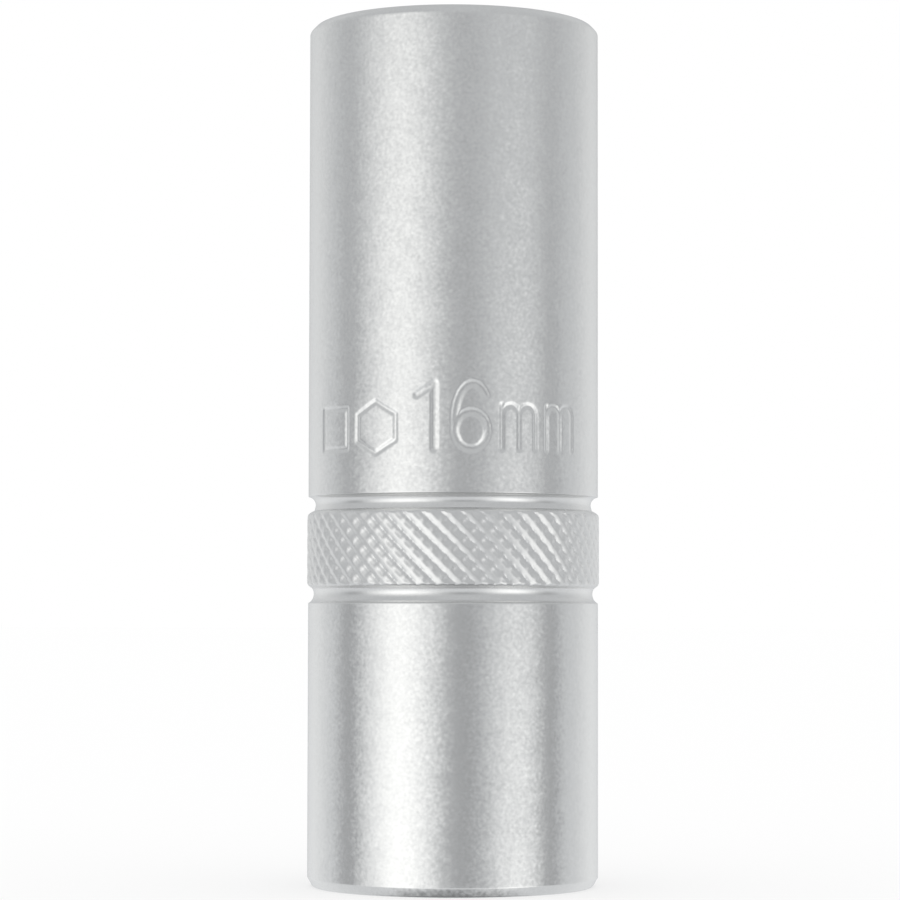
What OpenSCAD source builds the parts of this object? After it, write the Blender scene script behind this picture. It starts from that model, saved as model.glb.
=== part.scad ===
// Spark plug socket: a turned, plated steel barrel with a hexagon at one end, a square drive at the other,
// and a rubber insert between them that holds the plug by its insulator.
// The origin is the middle of the drive end's face, and +Z runs along the axis to the hexagon's mouth.

/* [Hexagon] */
// Width across the flats, which is the size of the plug plus a free fit
hex_af = 16.1; // [14.1:0.1:21]
// Depth of the hexagon below the mouth
hex_depth = 24; // [14:0.5:26]
// Radius of the round relief that keeps the load off each corner
relief_r = 0.9; // [0.5:0.05:1.2]
// How far a relief reaches outside its corner
relief_reach = 0.1; // [0:0.02:0.3]
// Height of the tapered lead-in at the mouth
mouth_taper_h = 1.3; // [0.5:0.1:2]

/* [Barrel] */
// Length from the drive end to the mouth
body_length = 65; // [62:0.5:90]
// Wall outside the hexagon's corners
corner_wall = 1.66; // [1.2:0.01:3]
// Width and height of the chamfer round the mouth
mouth_chamfer = 0.5; // [0.3:0.05:0.9]
// Height of the chamfer round the drive end
foot_chamfer_h = 0.7; // [0.3:0.05:1.2]
// Width of the chamfer round the drive end
foot_chamfer_w = 0.4; // [0.2:0.05:0.9]

/* [Grip band] */
// Height of the band's middle above the drive end
band_z = 25.26; // [24:0.02:50]
// Height of the band between its ends
band_h = 5.54; // [3:0.02:10]
// How far the band's crests stand proud of the barrel
band_rise = 0.08; // [0:0.01:0.3]
// Width of the chamfer at each end of the band
band_edge_w = 0.27; // [0.2:0.01:0.4]
// Height of the chamfer at each end of the band
band_edge_h = 0.34; // [0.2:0.01:0.8]
// Number of knurl grooves round the band, each way
knurl_starts = 48; // [36:1:56]
// Angle between the knurl grooves and the axis
knurl_angle = 46; // [30:1:55]
// Depth of the knurl grooves that fall to the right
knurl_depth = 0.22; // [0.15:0.01:0.4]
// Depth of the knurl grooves that cross them
cross_depth = 0.15; // [0.1:0.01:0.4]

/* [Turned grooves] */
// Radius of the section of the groove above the band
upper_groove_r = 0.64; // [0.55:0.01:1]
// Depth of the groove above the band
upper_groove_depth = 0.55; // [0.4:0.01:0.8]
// Radius of the section of the groove below the band
lower_groove_r = 0.83; // [0.6:0.01:1]
// Depth of the groove below the band
lower_groove_depth = 0.46; // [0.4:0.01:0.8]

/* [Square drive] */
// Width across the flats of the square
drive_af = 12.85; // [12.7:0.01:13.1]
// Depth of the square
drive_depth = 16; // [13:0.1:18]
// Radius to which the square's corners are rounded off
drive_corner_r = 8.7; // [8.4:0.05:8.9]
// Height of the tapered lead-in to the square
drive_taper_h = 0.9; // [0.4:0.1:1.5]
// How far the lead-in's wide end reaches outside the square's corners
drive_taper_w = 0.5; // [0.2:0.05:0.8]
// Height of the groove for the drive's spring ball above the drive end
detent_z = 8; // [6:0.1:10]
// Radius of the groove's section
detent_r = 2; // [1.2:0.1:2.4]
// How far the groove is cut into the flats
detent_depth = 0.8; // [0.3:0.05:1.1]

/* [Bore] */
// How much smaller the bore's radius is than the hexagon's inscribed circle
bore_step = 0.25; // [0.1:0.05:0.8]
// Thickness of the web between the square and the bore
web_h = 3; // [2:0.1:5]
// Diameter of the hole through the web, which the plug's terminal passes
web_hole_d = 11; // [9.8:0.1:12]
// Height of the taper at the end of the hexagon
shoulder_h = 0.8; // [0.3:0.1:1.5]

/* [Rubber insert] */
// Length of the insert
insert_length = 18; // [12:0.5:20]
// Diameter of the insert's bore, which grips the insulator
insert_bore_d = 9.6; // [9:0.1:10.6]
// Radial clearance between the insert and the barrel
insert_gap = 0.05; // [0.02:0.01:0.15]
// Height of the flared mouth of the insert
flare_h = 3; // [1:0.1:5]
// Width of the flared mouth of the insert
flare_w = 1.6; // [0.8:0.1:2.2]
// Height of the bead's middle above the insert's foot
bead_z = 9; // [4:0.1:13]
// Radius of the bead's section
bead_r = 1.3; // [0.8:0.05:1.6]
// How far the bead stands out of the insert
bead_rise = 0.7; // [0.3:0.05:1]
// Width and height of the chamfers at the insert's ends
insert_chamfer = 0.5; // [0.2:0.05:0.8]

/* [Hidden] */
$fn = 96;
past = 1;                                   // how far a cutter runs past the face that it opens
core_cover = 0.05;                          // steel between the band's core and the deepest knurl
core_bite = 0.5;                            // how deep the knurled ring sits in the band's core
corner_r = hex_af / sqrt(3);                // from the axis to the hexagon's sharp corners
body_r = corner_r + corner_wall;
mouth_r = corner_r + relief_reach;          // the lead-in just takes in the corner reliefs
mouth_taper_r = mouth_r - mouth_taper_h;    // the lead-in's cone runs at 45 degrees
bore_r = hex_af / 2 - bore_step;
web_top = drive_depth + web_h;
hex_floor = body_length - hex_depth;
band_r = body_r + band_rise;
band_bottom = band_z - band_h / 2;
band_top = band_z + band_h / 2;
core_r = band_r - max(band_edge_w, knurl_depth, cross_depth) - core_cover;
drive_taper_r = drive_corner_r + drive_taper_w;
insert_r = bore_r - insert_gap;
insert_bore_r = insert_bore_d / 2;

// Distance from the axis to the centre of a turned groove's section.
function groove_axis(r, depth) = body_r - depth + r;
// Half the height that a turned groove takes out of the band's core.
function groove_half(r, depth) = sqrt(r ^ 2 - (groove_axis(r, depth) - core_r) ^ 2);

upper_groove_z = band_top + core_cover + groove_half(upper_groove_r, upper_groove_depth);
lower_groove_z = band_bottom - core_cover - groove_half(lower_groove_r, lower_groove_depth);

// The knurl is drawn on a grid with four columns to a groove, and rows a quarter of a diamond apart.
STEPS = 4;
STEP_SHARE = [1, 0.5, 0, 0.5];              // share of a groove's depth at each step across it
CROSS_SHIFT = 2;                            // steps by which the crossing grooves are turned
knurl_columns = STEPS * knurl_starts;
knurl_face_h = band_h - 2 * band_edge_h;
knurl_rows = round(knurl_face_h * tan(knurl_angle) * knurl_columns / (2 * PI * band_r));

// Depth of the knurl at a column and row of its grid: the deeper of the two grooves that pass there.
function knurl_drop(column, row) = max(
    knurl_depth * STEP_SHARE[(column + row) % STEPS],
    cross_depth * STEP_SHARE[(column - row + CROSS_SHIFT + STEPS * knurl_rows) % STEPS]);

// A ring of the knurl's points, at the height of one row.
function knurl_ring(row) = [
    for (column = [0 : knurl_columns - 1])
        let (r = band_r - knurl_drop(column, row), angle = 360 * column / knurl_columns)
        [r * cos(angle), r * sin(angle), band_bottom + band_edge_h + knurl_face_h * row / knurl_rows]];

// A plain ring of points.
function plain_ring(r, z) = [
    for (column = [0 : knurl_columns - 1])
        let (angle = 360 * column / knurl_columns)
        [r * cos(angle), r * sin(angle), z]];

// The knurled surface as a closed ring, whose inner part lies inside the band's core.
module knurl() {
    edge_r = band_r - band_edge_w;
    inner_r = core_r - core_bite;
    rings = concat(
        [plain_ring(inner_r, band_bottom), plain_ring(edge_r, band_bottom)],
        [for (row = [0 : knurl_rows]) knurl_ring(row)],
        [plain_ring(edge_r, band_top), plain_ring(inner_r, band_top)]);
    count = len(rings);
    function at(ring, column) = (ring % count) * knurl_columns + column % knurl_columns;
    // Each square of the grid is split along the groove or crest that crosses it.
    function split(ring, column) =
        (ring + column) % 2 == 0
        ? [[at(ring, column), at(ring + 1, column), at(ring + 1, column + 1)],
           [at(ring, column), at(ring + 1, column + 1), at(ring, column + 1)]]
        : [[at(ring, column), at(ring + 1, column), at(ring, column + 1)],
           [at(ring + 1, column), at(ring + 1, column + 1), at(ring, column + 1)]];
    polyhedron(
        points = [for (ring = rings) each ring],
        faces = [for (ring = [0 : count - 1], column = [0 : knurl_columns - 1]) each split(ring, column)],
        convexity = 6);
}

// The barrel's outside before its grooves: chamfered at both ends, and reduced to the core at the band.
module barrel_outside() {
    rotate_extrude()
        polygon([
            [0, 0],
            [body_r - foot_chamfer_w, 0],
            [body_r, foot_chamfer_h],
            [body_r, lower_groove_z],
            [core_r, lower_groove_z],
            [core_r, upper_groove_z],
            [body_r, upper_groove_z],
            [body_r, body_length - mouth_chamfer],
            [body_r - mouth_chamfer, body_length],
            [0, body_length]]);
}

// A groove of round section turned into the barrel.
module turned_groove(z, r, depth) {
    translate([0, 0, z])
        rotate_extrude()
            translate([groove_axis(r, depth), 0])
                circle(r = r);
}

// The hexagon with its relieved corners, the lead-in at its mouth and the taper at its end.
module hex_cut() {
    translate([0, 0, hex_floor])
        linear_extrude(hex_depth + past) {
            rotate(30) circle(r = corner_r, $fn = 6);
            for (k = [0 : 5])
                rotate(60 * k + 30)
                    translate([corner_r + relief_reach - relief_r, 0])
                        circle(r = relief_r);
        }
    translate([0, 0, body_length - mouth_taper_h])
        cylinder(r1 = mouth_taper_r, r2 = mouth_r + past, h = mouth_taper_h + past);
    translate([0, 0, hex_floor - shoulder_h])
        cylinder(r1 = bore_r, r2 = hex_af / 2, h = shoulder_h);
}

// The bore behind the hexagon, with the groove that the insert's bead snaps into.
module bore_cut() {
    translate([0, 0, web_top])
        cylinder(r = bore_r, h = hex_floor - web_top);
    translate([0, 0, web_top + bead_z])
        rotate_extrude()
            translate([insert_r + bead_rise - bead_r, 0])
                circle(r = bead_r + insert_gap);
    translate([0, 0, drive_depth - past])
        cylinder(d = web_hole_d, h = web_h + 2 * past);
}

// The square drive with its lead-in and the groove for the spring ball.
module drive_cut() {
    translate([0, 0, -past])
        linear_extrude(drive_depth + past)
            intersection() {
                square(drive_af, center = true);
                circle(r = drive_corner_r);
            }
    translate([0, 0, -past])
        cylinder(r1 = drive_taper_r + past, r2 = drive_taper_r - drive_taper_h, h = drive_taper_h + past);
    translate([0, 0, detent_z])
        rotate_extrude()
            translate([drive_af / 2 + detent_depth - detent_r, 0])
                circle(r = detent_r);
}

// The steel barrel.
module socket_body() {
    color("silver")
        union() {
            difference() {
                barrel_outside();
                turned_groove(upper_groove_z, upper_groove_r, upper_groove_depth);
                turned_groove(lower_groove_z, lower_groove_r, lower_groove_depth);
                hex_cut();
                bore_cut();
                drive_cut();
            }
            knurl();
        }
}

// The rubber insert: a sleeve that stands on the web, with a bead round it and a flared mouth.
module rubber_insert() {
    color("dimgray")
        translate([0, 0, web_top])
            difference() {
                union() {
                    rotate_extrude()
                        polygon([
                            [0, 0],
                            [insert_r - insert_chamfer, 0],
                            [insert_r, insert_chamfer],
                            [insert_r, insert_length - insert_chamfer],
                            [insert_r - insert_chamfer, insert_length],
                            [0, insert_length]]);
                    translate([0, 0, bead_z])
                        rotate_extrude()
                            translate([insert_r + bead_rise - bead_r, 0])
                                circle(r = bead_r);
                }
                translate([0, 0, -past])
                    cylinder(r = insert_bore_r, h = insert_length + 2 * past);
                translate([0, 0, insert_length - flare_h])
                    cylinder(r1 = insert_bore_r, r2 = insert_bore_r + flare_w, h = flare_h);
                cylinder(r1 = insert_bore_r + insert_chamfer, r2 = insert_bore_r, h = insert_chamfer);
            }
}

socket_body();
rubber_insert();
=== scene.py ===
"""Looks of a spark plug socket: a plated barrel with a stamped size mark, and the rubber insert inside it.

Lengths are in millimetres until a mesh is made, and heights are above the drive end. Angles go round the
axis in degrees, from the front of the barrel, which faces -Y, and grow to the right.
"""
import math

import bpy
import numpy as np
from mathutils import Matrix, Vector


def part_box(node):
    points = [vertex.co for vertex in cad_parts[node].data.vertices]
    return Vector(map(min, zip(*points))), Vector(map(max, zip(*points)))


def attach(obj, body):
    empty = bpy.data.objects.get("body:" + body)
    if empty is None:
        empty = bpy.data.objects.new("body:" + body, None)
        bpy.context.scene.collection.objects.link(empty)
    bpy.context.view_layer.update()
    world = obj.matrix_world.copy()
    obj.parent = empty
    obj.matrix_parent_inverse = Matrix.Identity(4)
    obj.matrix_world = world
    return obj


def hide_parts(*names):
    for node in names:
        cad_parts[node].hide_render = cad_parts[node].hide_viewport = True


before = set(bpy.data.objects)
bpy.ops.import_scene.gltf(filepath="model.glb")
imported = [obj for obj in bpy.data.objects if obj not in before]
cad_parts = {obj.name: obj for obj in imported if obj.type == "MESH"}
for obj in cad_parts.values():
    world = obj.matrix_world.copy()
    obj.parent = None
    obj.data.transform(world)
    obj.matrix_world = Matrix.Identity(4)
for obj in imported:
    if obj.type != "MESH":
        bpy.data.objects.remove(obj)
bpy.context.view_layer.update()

# Sizes of the barrel, as the CAD part has them

MM = 0.001
BODY_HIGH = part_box("socket_body")[1]
INSERT_LOW, INSERT_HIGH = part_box("rubber_insert")
LENGTH = BODY_HIGH.z / MM
BODY_R = 10.955
BAND_R = BODY_R + 0.08
FOOT_CHAMFER_W, FOOT_CHAMFER_H = 0.4, 0.7
FOOT_ROUNDING, FOOT_TOP_ROUNDING = 0.12, 0.06
MOUTH_CHAMFER = 0.5
MOUTH_ROUNDING, MOUTH_TOP_ROUNDING = 0.2, 0.12
BAND_BOTTOM, BAND_TOP = 22.38, 28.20
FACE_BOTTOM, FACE_TOP = 22.80, 27.75
LOWER_ROUNDING, UPPER_ROUNDING = 2.012, 2.617
LOWER_GROOVE_Z, LOWER_GROOVE_R, LOWER_GROOVE_DEPTH = 21.93, 0.78, 0.42
UPPER_GROOVE_Z, UPPER_GROOVE_R, UPPER_GROOVE_DEPTH = 28.63, 0.64, 0.55
LOWER_GROOVE_TURN, UPPER_GROOVE_TURN = 30, 8
LIP_ROUNDING = 0.03
LIP_RUN = 0.1

HEX_HALF = 8.05
HEX_CORNER = HEX_HALF / math.cos(math.radians(30))
HEX_FLOOR = LENGTH - 24
RELIEF_R = 0.9
RELIEF_REACH = 0.1
RELIEF_EDGE = 5.47
MOUTH_R = HEX_CORNER + RELIEF_REACH
MOUTH_EDGE = ((0.08, 0.0), (0.02, 0.04))
MOUTH_LEAST_DROP = 0.06
HEX_LEDGE = 0.01
BORE_R = 7.8
SHOULDER_H = 0.8
WEB_TOP = INSERT_LOW.z / MM
WEB_BOTTOM = 16.0
WEB_HOLE_R = 5.5
SQUARE_HALF = 6.425
SQUARE_CORNER_R = 8.7
RECESS_R, RECESS_H = 9.2, 0.9
RECESS_GAP = 0.02
DETENT_Z, DETENT_SECTION_R, DETENT_R = 8.0, 2.0, SQUARE_HALF + 0.8
DETENT_LEAST = 0.3

INSERT_R = 7.75
INSERT_BORE_R = 4.8
INSERT_LENGTH = (INSERT_HIGH.z - INSERT_LOW.z) / MM
INSERT_CHAMFER = 0.5
INSERT_FOOT_ROUNDING, INSERT_ROUNDING = 0.2, 0.3
FLARE_W, FLARE_H = 1.6, 3.0
FLARE_TOP_ROUNDING, FLARE_ROUNDING = 0.4, 1.2
BEAD_Z, BEAD_SECTION_R, BEAD_RISE = 9.0, 1.3, 0.7

# The knurl

KNURL_STARTS = 48
KNURL_STEPS = 14
KNURL_Z = 22.83
KNURL_PERIOD = 4.86 / 3.5
KNURL_DEPTH = 0.10
KNURL_UPPER, KNURL_LOWER = 0.24, 0.39
NOTCH_DEPTH, NOTCH_MIDDLE, NOTCH_HALF, NOTCH_WALL = 0.058, 0.72, 0.40, 0.20
REACH_MIDDLE, REACH_HALF, REACH_FADE = 0.80, 0.36, 0.20
KNURL_ROUNDING = 0.05
ROW_CLEARANCE = 0.3

# The stamped mark: strokes as lists of points, each an arc length from the front line and a height

STAMP_DEPTH = 0.075
STAMP_SLOPE = 0.14
STAMP_LOW, STAMP_HIGH = 31.5, 38.1
STAMP_ANGLES = (-70.0, 60.0)
STAMP_ROW = 0.09
DIGIT_STROKE = 0.44
LETTER_STROKE = 0.28
BASE_LINE, X_HEIGHT, CAP_HEIGHT = 32.45, 35.65, 37.2
ONE_X, ONE_FLAG = -1.4, (-2.7, 36.35)
BOWL_MIDDLE, BOWL_HALF_W, BOWL_HALF_H = (1.3, 33.8), 1.2, 1.35
TAIL_MIDDLE, TAIL_HALF_W = (1.4, 34.6), 1.3
TAIL_ANGLES = (190, 42)
M_LEFTS, M_WIDTH, ARCH_H = (3.6, 7.35), 2.74, 0.75
HEXAGON_X, HEXAGON_R = -6.0, 1.9
SQUARE_X, SQUARE_R = -10.2, 2.1

# Rings of the lathe, steps along its curves and the angles from which edges stay sharp

COARSE_COUNT = 288
FINE_COUNT = KNURL_STARTS * KNURL_STEPS
STAMP_STEPS = 3
INSERT_COUNT = 256
INSIDE_COUNT = 360
INSIDE_CLEARANCE = 0.4
GROOVE_STEPS = 16
BEAD_STEPS = 13
BORE_GROOVE_STEPS = 9
DETENT_STEPS = 11
INSERT_CORNER_STEPS = 6
EDGE_HOLD = 0.25
BARREL_SHARP, INSERT_SHARP = 35, 40


def even_angles(count):
    """Angles all round, from the back of the barrel."""
    return np.arange(count) * 360.0 / count - 180.0


class Lathe:
    """Rings of points round the axis and the faces between them, each with the number of its finish."""

    def __init__(self):
        self.points = []
        self.faces = []
        self.finishes = []

    def ring(self, angles, radius, height):
        """Adds a ring of points. The radius and height are numbers, or one number for each angle."""
        angles = np.asarray(angles, float)
        radius = np.broadcast_to(radius, angles.shape)
        height = np.broadcast_to(height, angles.shape)
        start = len(self.points)
        turn = np.radians(angles)
        self.points.extend(zip(radius * np.sin(turn), -radius * np.cos(turn), height))
        return angles, np.arange(start, len(self.points))

    def face(self, corners, finish):
        """Adds one face."""
        self.faces.append([int(corner) for corner in corners])
        self.finishes.append(finish)

    def quads(self, low, high, finish):
        """Joins two closed rings of as many points."""
        here, there = low[1], high[1]
        for a, b, c, d in zip(here, np.roll(here, -1), np.roll(there, -1), there):
            self.face((a, b, c, d), finish)

    def strip(self, low, high, finish):
        """Joins two open rows of points, however many each has, by triangles."""
        i = j = 0
        while i < len(low[1]) - 1 or j < len(high[1]) - 1:
            low_next = low[0][i + 1] if i < len(low[1]) - 1 else math.inf
            high_next = high[0][j + 1] if j < len(high[1]) - 1 else math.inf
            if low_next <= high_next:
                self.face((low[1][i], low[1][i + 1], high[1][j]), finish)
                i += 1
            else:
                self.face((low[1][i], high[1][j + 1], high[1][j]), finish)
                j += 1

    def join(self, low, high, finish):
        """Joins two closed rings."""
        if len(low[0]) == len(high[0]) and np.allclose(low[0], high[0]):
            self.quads(low, high, finish)
        else:
            self.strip(closed(low), closed(high), finish)

    def mesh(self, name, materials, sharp_angle):
        """Makes the object, in metres, with edges sharper than an angle left sharp."""
        mesh = bpy.data.meshes.new(name)
        mesh.from_pydata([tuple(float(x) * MM for x in point) for point in self.points], [], self.faces)
        mesh.polygons.foreach_set("material_index", self.finishes)
        for material in materials:
            mesh.materials.append(material)
        mesh.shade_smooth()
        mesh.set_sharp_from_angle(angle=math.radians(sharp_angle))
        mesh.validate()
        mesh.update()
        piece = bpy.data.objects.new(name, mesh)
        bpy.context.scene.collection.objects.link(piece)
        return piece


def closed(ring):
    """A ring as an open row whose last point is its first."""
    return np.append(ring[0], ring[0][0] + 360.0), np.append(ring[1], ring[1][0])


def softened(corners, steps=4):
    """A profile's points, with each corner (radius, height, size) rounded from that far away."""
    points = []
    for k, (r, z, size) in enumerate(corners):
        here = np.array((r, z))
        if size == 0 or k in (0, len(corners) - 1):
            points.append(here)
            continue
        before = np.array(corners[k - 1][:2]) - here
        after = np.array(corners[k + 1][:2]) - here
        start = here + before * min(size / np.linalg.norm(before), 0.5)
        end = here + after * min(size / np.linalg.norm(after), 0.5)
        for t in np.linspace(0, 1, steps + 1):
            points.append((1 - t) ** 2 * start + 2 * t * (1 - t) * here + t ** 2 * end)
    return points


def arc(centre_r, centre_z, radius, from_angle, to_angle, steps):
    """Corners along an arc of a profile, at angles from the outward direction towards the mouth."""
    return [
        (centre_r + radius * math.cos(math.radians(a)), centre_z + radius * math.sin(math.radians(a)), 0)
        for a in np.linspace(from_angle, to_angle, steps)]


# Finishes of the barrel, by the number that its faces have

BARREL, FOOT, GROOVE, KNURL, INSIDE = range(5)


def groove_profile(axis_z, radius, depth, side, end_angle):
    """The lip's height of a turned groove, and its profile from the lip to an angle past its floor."""
    axis_r = BODY_R - depth + radius
    lip_angle = math.degrees(math.acos((axis_r - BODY_R) / radius))
    lip_z = axis_z + side * radius * math.sin(math.radians(lip_angle))
    return lip_z, arc(axis_r, axis_z, radius, 180 - side * lip_angle, 180 + side * end_angle, GROOVE_STEPS)


def band_edge(z):
    """Radius of the band without its knurl, rounded off at both ends."""
    above = max(z - FACE_TOP, 0.0)
    below = max(FACE_BOTTOM - z, 0.0)
    return BAND_R - UPPER_ROUNDING * above ** 2 - LOWER_ROUNDING * below ** 2


def trench_share(off, half, wall):
    """Share of a trench's depth at a distance from its middle: sloped walls with rounded ends."""
    ramp = (half - off) / wall
    return (1.0 + np.hypot(ramp, KNURL_ROUNDING) - np.hypot(ramp - 1.0, KNURL_ROUNDING)) / 2


def knurl_radius(angles, z):
    """Radius of the knurled band at one height: slanted grooves, with notches across the ridges."""
    around = angles * KNURL_STARTS / 360.0
    along = (z - KNURL_Z) / KNURL_PERIOD
    side = (around + along + 0.5) % 1.0 - 0.5
    half = np.where(side > 0, KNURL_LOWER, KNURL_UPPER)
    groove = KNURL_DEPTH * trench_share(np.abs(side), half, half)
    across = np.abs((around - along - NOTCH_MIDDLE + 0.5) % 1.0 - 0.5)
    off = np.abs((around + along - REACH_MIDDLE + 0.5) % 1.0 - 0.5)
    reach = np.clip((REACH_HALF - off) / REACH_FADE, 0.0, 1.0)
    notch = NOTCH_DEPTH * reach * trench_share(across, NOTCH_HALF, NOTCH_WALL)
    return np.minimum(BAND_R - groove - notch, band_edge(z))


def add_knurl(lathe, below):
    """The knurled band, from the ring below it. Squares are split by turns one way and the other."""
    angles = even_angles(FINE_COUNT)
    step = KNURL_PERIOD / KNURL_STEPS
    first = math.ceil((BAND_BOTTOM - KNURL_Z) / step + ROW_CLEARANCE)
    last = math.floor((BAND_TOP - KNURL_Z) / step - ROW_CLEARANCE)
    row = lathe.ring(angles, band_edge(BAND_BOTTOM), BAND_BOTTOM)
    lathe.join(below, row, KNURL)
    for j in range(first, last + 1):
        z = KNURL_Z + j * step
        upper = lathe.ring(angles, knurl_radius(angles, z), z)
        a, b = row[1], upper[1]
        for i in range(FINE_COUNT):
            k = (i + 1) % FINE_COUNT
            if (i - j) % 2:
                lathe.face((a[i], a[k], b[k]), KNURL)
                lathe.face((a[i], b[k], b[i]), KNURL)
            else:
                lathe.face((a[i], a[k], b[i]), KNURL)
                lathe.face((a[k], b[k], b[i]), KNURL)
        row = upper
    top = lathe.ring(angles, band_edge(BAND_TOP), BAND_TOP)
    lathe.join(row, top, KNURL)
    return top


def ellipse(centre, half_w, half_h, from_angle, to_angle, steps=20):
    """Points of a stroke along part of an ellipse."""
    return [
        (centre[0] + half_w * math.cos(math.radians(a)), centre[1] + half_h * math.sin(math.radians(a)))
        for a in np.linspace(from_angle, to_angle, steps)]


def letter_m(left, width):
    """Strokes of a lower-case m: three stems and two arches."""
    half = width / 4
    arch_z = X_HEIGHT - ARCH_H
    strokes = [[(left, BASE_LINE), (left, X_HEIGHT)]]
    for k in (1, 3):
        centre = (left + k * half, arch_z)
        strokes.append(ellipse(centre, half, ARCH_H, 180, 0, 12) + [(left + (k + 1) * half, BASE_LINE)])
    return strokes


def regular(centre, radius, sides, turn):
    """A closed stroke round a regular polygon."""
    return [
        (centre[0] + radius * math.cos(math.radians(turn + 360 * k / sides)),
         centre[1] + radius * math.sin(math.radians(turn + 360 * k / sides)))
        for k in range(sides + 1)]


def stamp_strokes():
    """The mark's strokes with their widths: a square and a hexagon for the two ends, and the size."""
    middle = (BASE_LINE + X_HEIGHT) / 2
    one = [[ONE_FLAG, (ONE_X, CAP_HEIGHT), (ONE_X, BASE_LINE)]]
    six = [
        ellipse(BOWL_MIDDLE, BOWL_HALF_W, BOWL_HALF_H, 0, 360, 36),
        ellipse(TAIL_MIDDLE, TAIL_HALF_W, CAP_HEIGHT - TAIL_MIDDLE[1], *TAIL_ANGLES, 24)]
    thin = [stroke for left in M_LEFTS for stroke in letter_m(left, M_WIDTH)]
    thin.append(regular((HEXAGON_X, middle), HEXAGON_R, 6, 30))
    thin.append(regular((SQUARE_X, middle), SQUARE_R, 4, 45))
    return [(stroke, DIGIT_STROKE) for stroke in one + six] + [(stroke, LETTER_STROKE) for stroke in thin]


def stroke_distance(across, up, stroke):
    """Distance from points to a stroke's middle line."""
    nearest = np.full(across.shape, np.inf)
    for (x0, z0), (x1, z1) in zip(stroke, stroke[1:]):
        dx, dz = x1 - x0, z1 - z0
        t = np.clip(((across - x0) * dx + (up - z0) * dz) / (dx * dx + dz * dz), 0, 1)
        nearest = np.minimum(nearest, np.hypot(across - x0 - t * dx, up - z0 - t * dz))
    return nearest


def stamp_drop(angles, heights):
    """How deep the stamped mark is at each point of a grid."""
    across, up = np.meshgrid(np.radians(angles) * BODY_R, heights)
    drop = np.zeros(across.shape)
    for stroke, width in stamp_strokes():
        inside = (width / 2 + STAMP_SLOPE - stroke_distance(across, up, stroke)) / (2 * STAMP_SLOPE)
        inside = np.clip(inside, 0, 1)
        drop = np.maximum(drop, STAMP_DEPTH * inside * inside * (3 - 2 * inside))
    return drop


def add_stamped_zone(lathe, below):
    """The part of the barrel with the stamped mark, from the ring below it: a fine grid at the front only."""
    coarse = even_angles(COARSE_COUNT)
    above = lathe.ring(coarse, BODY_R, STAMP_HIGH)
    first = int(np.searchsorted(coarse, STAMP_ANGLES[0]))
    last = int(np.searchsorted(coarse, STAMP_ANGLES[1]))
    angles = np.linspace(coarse[first], coarse[last], (last - first) * STAMP_STEPS + 1)
    heights = np.arange(STAMP_LOW + STAMP_ROW, STAMP_HIGH - STAMP_ROW / 2, STAMP_ROW)
    drops = stamp_drop(angles, heights)
    rows = [lathe.ring(angles, BODY_R - drop, z) for drop, z in zip(drops, heights)]

    def part(ring):
        return ring[0][first:last + 1], ring[1][first:last + 1]

    lathe.strip(part(below), rows[0], BARREL)
    for low, high in zip(rows, rows[1:]):
        for i in range(len(angles) - 1):
            lathe.face((low[1][i], low[1][i + 1], high[1][i + 1], high[1][i]), BARREL)
    lathe.strip(rows[-1], part(above), BARREL)
    a, b = below[1], above[1]
    left_edge = [row[1][0] for row in rows]
    right_edge = [row[1][-1] for row in rows]
    for i in range(COARSE_COUNT):
        k = (i + 1) % COARSE_COUNT
        if k == first:
            lathe.face([a[i], a[k], *left_edge, b[k], b[i]], BARREL)
        elif i == last:
            lathe.face([a[i], a[k], b[k], b[i], *reversed(right_edge)], BARREL)
        elif i < first or i > last:
            lathe.face((a[i], a[k], b[k], b[i]), BARREL)
    return above


def add_profile(lathe, below, profile, finish):
    """Plain rings of the outside along a profile, from the ring below them."""
    ring = below
    for r, z in profile:
        upper = lathe.ring(even_angles(COARSE_COUNT), r, z)
        lathe.join(ring, upper, finish)
        ring = upper
    return ring


def hex_radius(angles):
    """Radius of the relieved hexagon at angles round the axis."""
    off = np.radians((angles + 30.0) % 60.0 - 30.0)
    flat = HEX_HALF / np.cos(np.abs(off) - math.radians(30))
    centre = HEX_CORNER + RELIEF_REACH - RELIEF_R
    side = centre * np.sin(off)
    relief = centre * np.cos(off) + np.sqrt(np.maximum(RELIEF_R ** 2 - side ** 2, 0))
    return np.where(np.abs(side) < RELIEF_R, np.maximum(flat, relief), flat)


def square_radius(angles):
    """Radius of the drive square, with its rounded corners, at angles round the axis."""
    off = np.radians((angles + 45.0) % 90.0 - 45.0)
    return np.minimum(SQUARE_HALF / np.cos(off), SQUARE_CORNER_R)


def inside_angles():
    """Angles for the inside: even ones, with the edges of the hexagon's reliefs and the square's corners."""
    square_edge = math.degrees(math.acos(SQUARE_HALF / SQUARE_CORNER_R))
    keys = [60.0 * k + side * RELIEF_EDGE for k in range(-3, 3) for side in (-1, 1)]
    keys += [90.0 * k + side * square_edge for k in range(-2, 2) for side in (-1, 1)]
    keys = [(key + 180.0) % 360.0 - 180.0 for key in keys]
    plain = [a for a in even_angles(INSIDE_COUNT) if min(abs(a - key) for key in keys) > INSIDE_CLEARANCE]
    return np.array(sorted(plain + keys))


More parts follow.
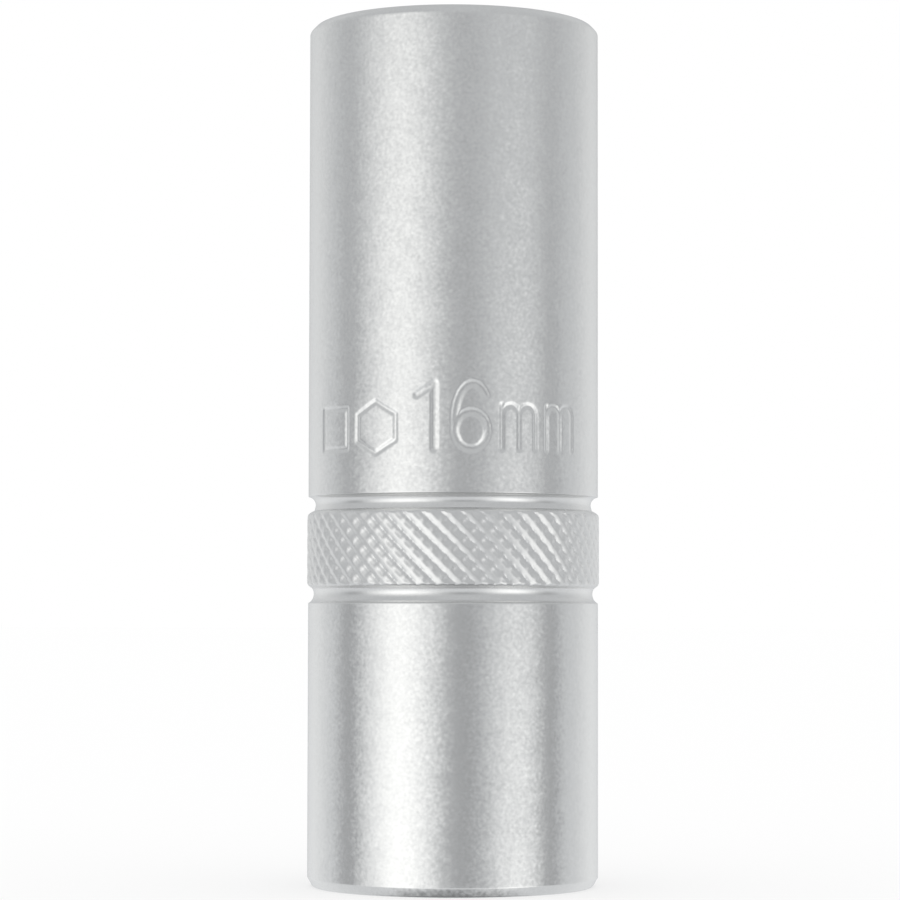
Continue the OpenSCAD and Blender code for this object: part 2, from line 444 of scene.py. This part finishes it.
def inside_rings(angles):
    """Radius and height of each ring of the inside, from the mouth to the recess at the drive end."""
    hexagon = hex_radius(angles)
    square = square_radius(angles)
    rings = [(MOUTH_R + out, LENGTH - drop) for out, drop in MOUTH_EDGE]
    rings += [
        (hexagon, LENGTH - np.maximum(MOUTH_R - hexagon, MOUTH_LEAST_DROP)),
        (hexagon, HEX_FLOOR),
        (np.minimum(HEX_HALF, hexagon - HEX_LEDGE), HEX_FLOOR),
        (BORE_R, HEX_FLOOR - SHOULDER_H)]
    groove_axis = INSERT_R + BEAD_RISE - BEAD_SECTION_R
    groove_section = BEAD_SECTION_R + BORE_R - INSERT_R
    groove_half = math.degrees(math.acos((BORE_R - groove_axis) / groove_section))
    groove = arc(groove_axis, WEB_TOP + BEAD_Z, groove_section, groove_half, -groove_half, BORE_GROOVE_STEPS)
    rings += [(r, z) for r, z, _ in groove]
    rings += [
        (BORE_R, WEB_TOP),
        (WEB_HOLE_R, WEB_TOP),
        (WEB_HOLE_R, WEB_BOTTOM),
        (square, WEB_BOTTOM)]
    detent_axis = DETENT_R - DETENT_SECTION_R
    reach = np.maximum(DETENT_SECTION_R ** 2 - (square - detent_axis) ** 2, DETENT_LEAST ** 2)
    for share in np.linspace(1, -1, DETENT_STEPS):
        rise = np.sqrt(reach) * share
        cut = detent_axis + np.sqrt(np.maximum(DETENT_SECTION_R ** 2 - rise ** 2, 0))
        rings.append((np.maximum(square, cut), DETENT_Z + rise))
    recess = np.maximum(RECESS_R - RECESS_H, square)
    rings += [
        (square, np.where(recess > square, RECESS_H, RECESS_H + RECESS_GAP)),
        (recess, RECESS_R - recess)]
    return rings


def foot_profile(lip_z):
    """The foot, from the recess at the drive end up to the lower groove's lip."""
    return softened([
        (RECESS_R, 0.0, 0),
        (BODY_R - FOOT_CHAMFER_W, 0.0, FOOT_ROUNDING),
        (BODY_R, FOOT_CHAMFER_H, FOOT_TOP_ROUNDING),
        (BODY_R, FOOT_CHAMFER_H + EDGE_HOLD, 0),
        (BODY_R, lip_z - LIP_RUN, 0)])


def mouth_profile():
    """The barrel above the stamped mark, up to the hexagon's mouth."""
    return softened([
        (BODY_R, STAMP_HIGH, 0),
        (BODY_R, LENGTH - MOUTH_CHAMFER - EDGE_HOLD, 0),
        (BODY_R, LENGTH - MOUTH_CHAMFER, MOUTH_ROUNDING),
        (BODY_R - MOUTH_CHAMFER, LENGTH, MOUTH_TOP_ROUNDING),
        (MOUTH_R, LENGTH, 0)])


def lipped(groove, lip_z, run_z):
    """A groove's profile with its rounded lip and a short run of the barrel beside it."""
    return softened([(BODY_R, run_z, 0), (BODY_R, lip_z, LIP_ROUNDING)] + groove[1:])


def build_body(materials):
    """The barrel: its outside from the foot to the mouth, then its inside back to the foot."""
    lathe = Lathe()
    inner = inside_angles()
    foot_rim = lathe.ring(inner, RECESS_R, 0.0)
    lower_lip, lower = groove_profile(
        LOWER_GROOVE_Z, LOWER_GROOVE_R, LOWER_GROOVE_DEPTH, -1, LOWER_GROOVE_TURN)
    upper_lip, upper = groove_profile(
        UPPER_GROOVE_Z, UPPER_GROOVE_R, UPPER_GROOVE_DEPTH, 1, UPPER_GROOVE_TURN)

    ring = add_profile(lathe, foot_rim, foot_profile(lower_lip)[1:], FOOT)
    ring = add_profile(lathe, ring, lipped(lower, lower_lip, lower_lip - LIP_RUN)[1:], GROOVE)
    ring = add_knurl(lathe, ring)
    ring = add_profile(lathe, ring, lipped(upper, upper_lip, upper_lip + LIP_RUN)[::-1], GROOVE)
    ring = add_profile(lathe, ring, [(BODY_R, STAMP_LOW)], BARREL)
    ring = add_stamped_zone(lathe, ring)
    ring = add_profile(lathe, ring, mouth_profile()[1:-1], BARREL)

    for r, z in inside_rings(inner):
        lower_ring = lathe.ring(inner, r, z)
        lathe.join(ring, lower_ring, INSIDE)
        ring = lower_ring
    lathe.join(ring, foot_rim, INSIDE)
    return lathe.mesh("barrel", materials, BARREL_SHARP)


def build_insert(material):
    """The rubber sleeve, with its bead, flared mouth and softened edges."""
    bead_axis = INSERT_R + BEAD_RISE - BEAD_SECTION_R
    bead_half = math.degrees(math.acos((INSERT_R - bead_axis) / BEAD_SECTION_R))
    c, top = INSERT_CHAMFER, INSERT_LENGTH
    bead = arc(bead_axis, BEAD_Z, BEAD_SECTION_R, -bead_half, bead_half, BEAD_STEPS)
    corners = [
        (INSERT_BORE_R + c, 0, 0),
        (INSERT_R - c, 0, INSERT_FOOT_ROUNDING),
        (INSERT_R, c, INSERT_FOOT_ROUNDING),
        *bead,
        (INSERT_R, top - c, INSERT_ROUNDING),
        (INSERT_R - c, top, INSERT_ROUNDING),
        (INSERT_BORE_R + FLARE_W, top, FLARE_TOP_ROUNDING),
        (INSERT_BORE_R, top - FLARE_H, FLARE_ROUNDING),
        (INSERT_BORE_R, c, INSERT_ROUNDING),
        (INSERT_BORE_R + c, 0, 0)]
    profile = softened(corners, INSERT_CORNER_STEPS)[:-1]
    lathe = Lathe()
    angles = even_angles(INSERT_COUNT)
    rings = [lathe.ring(angles, r, WEB_TOP + z) for r, z in profile]
    for low, high in zip(rings, rings[1:] + rings[:1]):
        lathe.quads(low, high, 0)
    return lathe.mesh("insert", [material], INSERT_SHARP)


# Materials

class Nodes:
    """A short way to add and link the nodes of one material or world."""

    def __init__(self, tree):
        self.tree = tree
        tree.nodes.clear()

    def add(self, kind, inputs=None, **settings):
        """Adds a node. Inputs maps a socket's name or number to a value or to another node's output."""
        node = self.tree.nodes.new(kind)
        for name, value in settings.items():
            setattr(node, name, value)
        for key, value in (inputs or {}).items():
            self.put(node, key, value)
        return node

    def put(self, node, key, value):
        """Sets or links one input."""
        if isinstance(value, bpy.types.NodeSocket):
            self.tree.links.new(value, node.inputs[key])
        else:
            node.inputs[key].default_value = value

    def math(self, operation, *values):
        """Adds a math node and gives its result."""
        return self.add("ShaderNodeMath", dict(enumerate(values)), operation=operation).outputs[0]

    def vector(self, operation, inputs):
        """Adds a vector math node and gives its result."""
        return self.add("ShaderNodeVectorMath", inputs, operation=operation).outputs[0]

    def spread(self, value, low, high, to_low, to_high, smooth=False):
        """Maps a value from one range to another, held at the ends."""
        kind = "SMOOTHSTEP" if smooth else "LINEAR"
        inputs = {0: value, 1: low, 2: high, 3: to_low, 4: to_high}
        return self.add("ShaderNodeMapRange", inputs, interpolation_type=kind).outputs[0]

    def noise(self, place, scale, detail, roughness=0.5):
        """A noise of that many features in a metre."""
        inputs = {"Vector": place, "Scale": scale, "Detail": detail, "Roughness": roughness}
        return self.add("ShaderNodeTexNoise", inputs).outputs["Fac"]

    def stretched(self, place, scale):
        """A place with each axis scaled by its own factor."""
        return self.add("ShaderNodeMapping", {"Vector": place, "Scale": scale}).outputs[0]

    def tilt(self, normal, place, scale, detail, amount):
        """Tilts a normal at random, by a noise of that many features in a metre."""
        inputs = {"Vector": place, "Scale": scale, "Detail": detail}
        noise = self.add("ShaderNodeTexNoise", inputs).outputs["Color"]
        lean = self.vector("SUBTRACT", {0: noise, 1: (0.5, 0.5, 0.5)})
        lean = self.vector("SCALE", {0: lean, "Scale": amount})
        return self.vector("ADD", {0: normal, 1: lean})

    def blend(self, share, low_colour, high_colour):
        """A colour between two, by a share from 0 to 1."""
        mix = self.add("ShaderNodeMix", {0: share}, data_type="RGBA")
        mix.inputs[6].default_value = (*low_colour, 1)
        mix.inputs[7].default_value = (*high_colour, 1)
        return mix.outputs[2]

    def bump(self, height, distance, normal=None):
        """Bumps the surface by a height between 0 and 1."""
        inputs = {"Height": height, "Distance": distance, "Strength": 1.0}
        if normal is not None:
            inputs["Normal"] = normal
        return self.add("ShaderNodeBump", inputs).outputs[0]


GRAIN_PER_M = 3600.0
SPECKS_PER_M = 4500.0
LINES_PER_M = 11000.0
MOTTLE_PER_M = 700.0
SPECK_TINT = 0.016
TURNING_LINES = 0.000001
LINE_STRETCH = (0.03, 0.03, 1.0)
NOISE_SPAN = (0.3, 0.7)


def plated(name, colour, roughness, grain, mottle, patches):
    """Chrome plate: fine grain and slow mottling that tilt the surface, turning lines and specks."""
    material = bpy.data.materials.new(name)
    material.use_nodes = True
    nodes = Nodes(material.node_tree)
    place = nodes.add("ShaderNodeTexCoord").outputs["Object"]
    normal = nodes.add("ShaderNodeNewGeometry").outputs["Normal"]
    normal = nodes.tilt(normal, place, MOTTLE_PER_M, 2.0, mottle)
    normal = nodes.tilt(normal, place, GRAIN_PER_M, 1.0, grain)
    normal = nodes.vector("NORMALIZE", {0: normal})
    line_place = nodes.stretched(place, LINE_STRETCH)
    normal = nodes.bump(nodes.noise(line_place, LINES_PER_M, 3.0, 0.6), TURNING_LINES, normal)
    patch = nodes.noise(place, GRAIN_PER_M, 2.0, 0.6)
    rough = nodes.spread(patch, *NOISE_SPAN, roughness - patches, roughness + patches)
    speck = nodes.spread(nodes.noise(place, SPECKS_PER_M, 1.0), *NOISE_SPAN, 0.0, 1.0)
    dark = [c * (1 - SPECK_TINT) for c in colour]
    pale = [c * (1 + SPECK_TINT) for c in colour]
    shader = nodes.add("ShaderNodeBsdfPrincipled", {
        "Base Color": nodes.blend(speck, dark, pale),
        "Metallic": 1.0,
        "Roughness": rough,
        "Normal": normal})
    nodes.add("ShaderNodeOutputMaterial", {"Surface": shader.outputs[0]})
    return material


RUBBER_GRAIN_PER_M = 5000.0
RUBBER_GRAIN_DEPTH = 0.000008
BLOOM_PER_M = 420.0
BLOOM_SPAN = (0.35, 0.7)
RUBBER_DARK = (0.022, 0.022, 0.024)
RUBBER_DUSTY = (0.045, 0.044, 0.043)
RUBBER_ROUGHNESS = (0.5, 0.66)
RUBBER_SPECULAR = 0.4


def rubber(name):
    """Black moulded rubber with a fine matte grain and a dusty bloom."""
    material = bpy.data.materials.new(name)
    material.use_nodes = True
    nodes = Nodes(material.node_tree)
    place = nodes.add("ShaderNodeTexCoord").outputs["Object"]
    grain = nodes.noise(place, RUBBER_GRAIN_PER_M, 3.0, 0.6)
    bloom = nodes.noise(place, BLOOM_PER_M, 4.0, 0.6)
    dusty = nodes.spread(bloom, *BLOOM_SPAN, 0.0, 1.0)
    shader = nodes.add("ShaderNodeBsdfPrincipled", {
        "Base Color": nodes.blend(dusty, RUBBER_DARK, RUBBER_DUSTY),
        "Roughness": nodes.spread(bloom, *NOISE_SPAN, *RUBBER_ROUGHNESS),
        "Specular IOR Level": RUBBER_SPECULAR,
        "Normal": nodes.bump(grain, RUBBER_GRAIN_DEPTH)})
    nodes.add("ShaderNodeOutputMaterial", {"Surface": shader.outputs[0]})
    return material


PLATE = (0.80, 0.80, 0.795)
DULL_PLATE = (0.62, 0.62, 0.615)

barrel_finishes = [
    plated("satin_barrel", PLATE, roughness=0.25, grain=0.18, mottle=0.08, patches=0.02),
    plated("satin_foot", PLATE, roughness=0.20, grain=0.14, mottle=0.06, patches=0.04),
    plated("bright_groove", PLATE, roughness=0.22, grain=0.03, mottle=0.0, patches=0.02),
    plated("bright_knurl", PLATE, roughness=0.34, grain=0.12, mottle=0.04, patches=0.02),
    plated("plain_inside", DULL_PLATE, roughness=0.36, grain=0.12, mottle=0.05, patches=0.03)]

barrel = build_body(barrel_finishes)
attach(barrel, "root")
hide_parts("socket_body")

insert = build_insert(rubber("black_rubber"))
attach(insert, "root")
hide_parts("rubber_insert")

# The floor, the light and the camera

FLOOR_SIDE = 6.0
FLOOR_COLOUR = (0.9, 0.9, 0.9, 1)
FLOOR_WHITE = 0.6
AMBIENT = 1.1
WHITE = (1, 1, 1, 1)


def build_floor():
    """A plain pale floor. The metal shows the studio in its place, with the studio's painted shadow straight
    below.
    """
    half = FLOOR_SIDE / 2
    mesh = bpy.data.meshes.new("floor")
    corners = [(-half, -half, 0), (half, -half, 0), (half, half, 0), (-half, half, 0)]
    mesh.from_pydata(corners, [], [(0, 1, 2, 3)])
    floor = bpy.data.objects.new("floor", mesh)
    bpy.context.scene.collection.objects.link(floor)
    material = bpy.data.materials.new("pale_floor")
    material.use_nodes = True
    nodes = Nodes(material.node_tree)
    lit = nodes.add("ShaderNodeBsdfDiffuse", {"Color": FLOOR_COLOUR})
    white = nodes.add("ShaderNodeEmission", {"Color": WHITE, "Strength": 1.0})
    path = nodes.add("ShaderNodeLightPath")
    share = nodes.math("MULTIPLY", path.outputs["Is Camera Ray"], FLOOR_WHITE)
    surface = nodes.add("ShaderNodeMixShader", {0: share, 1: lit.outputs[0], 2: white.outputs[0]})
    nodes.add("ShaderNodeOutputMaterial", {"Surface": surface.outputs[0]})
    mesh.materials.append(material)
    floor.visible_glossy = False


# The studio that shiny surfaces show: a cool tent that is paler towards the floor and dark straight below,
# where a painted shadow stands for the socket's shade on the floor, which shiny surfaces don't see; soft warm
# lights and grey cards near eye height. Each light or card has its angle round the object from the camera's
# side, its half width in degrees, the upward part of its direction, its half height in the same measure, and
# its strength

TENT_COLOUR = (0.96, 0.98, 1.0, 1)
LIGHT_COLOUR = (1.0, 0.99, 0.95, 1)
TENT_LOW, TENT_HIGH = 0.75, 0.60
TENT_SPAN = (-0.3, 0.3)
# Painted shadow straight below: the share of the tent left there, and the upward parts between which it fades
# in
PAINTED_SHADOW_SHARE = 0.3
PAINTED_SHADOW_EDGE = (-0.96, -0.80)
SOFT_LIGHTS = [
    (-42, 22, -0.2, 0.4, 0.70),
    (52, 16, -0.4, 0.3, 0.70),
    (140, 20, 0.0, 0.5, 0.20),
    (-140, 20, 0.0, 0.5, 0.20)]
GREY_CARDS = [
    (-90, 10, -0.1, 0.2, 0.30),
    (8, 15, -0.1, 0.2, 0.30),
    (82, 10, -0.1, 0.2, 0.30)]


def soft_light(nodes, turn, z, light):
    """The level of one soft light or card, by direction, with wide soft edges."""
    angle, half, height, half_height, strength = light
    aside = nodes.math("ABSOLUTE", nodes.math("SUBTRACT", turn, math.radians(angle)))
    apart = nodes.math("ABSOLUTE", nodes.math("SUBTRACT", z, height))
    across = nodes.spread(aside, 0.0, math.radians(2 * half), strength, 0.0, smooth=True)
    upward = nodes.spread(apart, 0.0, 2 * half_height, 1.0, 0.0, smooth=True)
    return nodes.math("MULTIPLY", across, upward)


def studio_levels(nodes):
    """The strength of the tent, darkened straight below by a painted shadow, and that of its soft lights, by
    direction.
    """
    direction = nodes.add("ShaderNodeTexCoord").outputs["Generated"]
    x, y, z = nodes.add("ShaderNodeSeparateXYZ", {0: direction}).outputs
    turn = nodes.math("ARCTAN2", x, nodes.math("MULTIPLY", y, -1.0))
    tent = nodes.spread(z, *TENT_SPAN, TENT_LOW, TENT_HIGH, smooth=True)
    for card in GREY_CARDS:
        tent = nodes.math("SUBTRACT", tent, soft_light(nodes, turn, z, card))
    # Painted shadow: the tent darkened straight below, standing for the socket's shade on the floor
    painted_shadow = nodes.spread(z, *PAINTED_SHADOW_EDGE, PAINTED_SHADOW_SHARE, 1.0, smooth=True)
    lights = 0.0
    for light in SOFT_LIGHTS:
        lights = nodes.math("ADD", lights, soft_light(nodes, turn, z, light))
    return nodes.math("MULTIPLY", tent, painted_shadow), lights


def build_studio():
    """White to the camera, even to matte surfaces, and the studio's soft lights to shiny ones."""
    world = bpy.data.worlds.new("studio")
    bpy.context.scene.world = world
    world.use_nodes = True
    nodes = Nodes(world.node_tree)
    tent, lights = studio_levels(nodes)
    walls = nodes.add("ShaderNodeBackground", {"Color": TENT_COLOUR, "Strength": tent})
    lamps = nodes.add("ShaderNodeBackground", {"Color": LIGHT_COLOUR, "Strength": lights})
    shiny = nodes.add("ShaderNodeAddShader", {0: walls.outputs[0], 1: lamps.outputs[0]})
    even = nodes.add("ShaderNodeBackground", {"Color": WHITE, "Strength": AMBIENT})
    white = nodes.add("ShaderNodeBackground", {"Color": WHITE, "Strength": 1.0})
    path = nodes.add("ShaderNodeLightPath").outputs
    lit = {0: path["Is Glossy Ray"], 1: even.outputs[0], 2: shiny.outputs[0]}
    surroundings = nodes.add("ShaderNodeMixShader", lit)
    seen = {0: path["Is Camera Ray"], 1: surroundings.outputs[0], 2: white.outputs[0]}
    backdrop = nodes.add("ShaderNodeMixShader", seen)
    nodes.add("ShaderNodeOutputWorld", {"Surface": backdrop.outputs[0]})


CAMERA_PLACE = (-0.25, -245.5, 20.97)
CAMERA_PITCH, CAMERA_ROLL = 2.773, 0.106
LENS, SENSOR_WIDTH = 129.6, 36.0
CLIP_START = 0.01


def build_camera():
    """A long lens a little below the middle of the socket, tilted up."""
    data = bpy.data.cameras.new("camera")
    data.lens = LENS
    data.sensor_width = SENSOR_WIDTH
    data.clip_start = CLIP_START
    camera = bpy.data.objects.new("camera", data)
    camera.location = [x * MM for x in CAMERA_PLACE]
    pitch = Matrix.Rotation(math.radians(90 + CAMERA_PITCH), 3, "X")
    roll = Matrix.Rotation(math.radians(CAMERA_ROLL), 3, "Z")
    camera.rotation_euler = (pitch @ roll).to_euler()
    bpy.context.scene.collection.objects.link(camera)
    bpy.context.scene.camera = camera


build_floor()
build_studio()
build_camera()
bpy.context.scene.view_settings.view_transform = "Standard"
